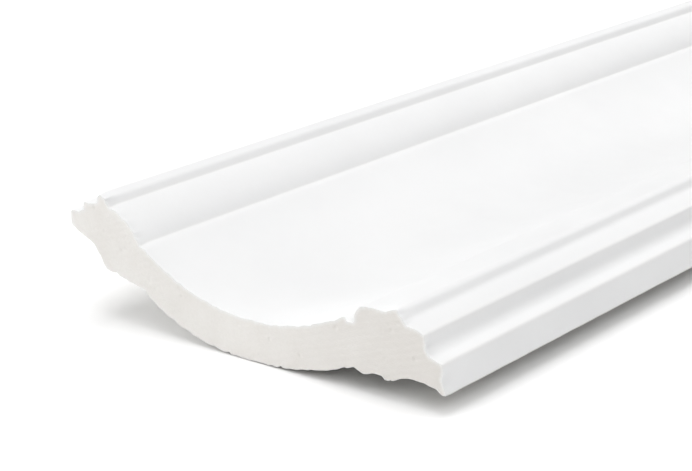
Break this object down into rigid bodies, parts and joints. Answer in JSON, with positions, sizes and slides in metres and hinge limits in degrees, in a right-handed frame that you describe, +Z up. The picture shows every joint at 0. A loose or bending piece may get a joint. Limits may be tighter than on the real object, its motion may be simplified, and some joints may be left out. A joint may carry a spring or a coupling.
{
  "type": "cornice moulding",
  "caption": "Cut length of cove cornice moulding in white primed rigid foam, with bead, ovolo, deep cove, flat band and stepped lower edge, lying on its bellied back.",
  "frame": {"origin": "bottom centre of the bounding box, on the flat of the belly that the moulding lies on", "axes": "+X along the length, away from the cut end nearest the camera; +Y across the moulding, towards its thin upper edge; +Z up from the ground"},
  "size_m": [0.36, 0.12, 0.0343],
  "materials": {
    "primed_foam": "smooth white primer on the face, bare off-white fine-celled foam on the cut ends and the back"
  },
  "bodies": {
    "root": {"cornice_moulding": "primed_foam"}
  },
  "joints": []
}
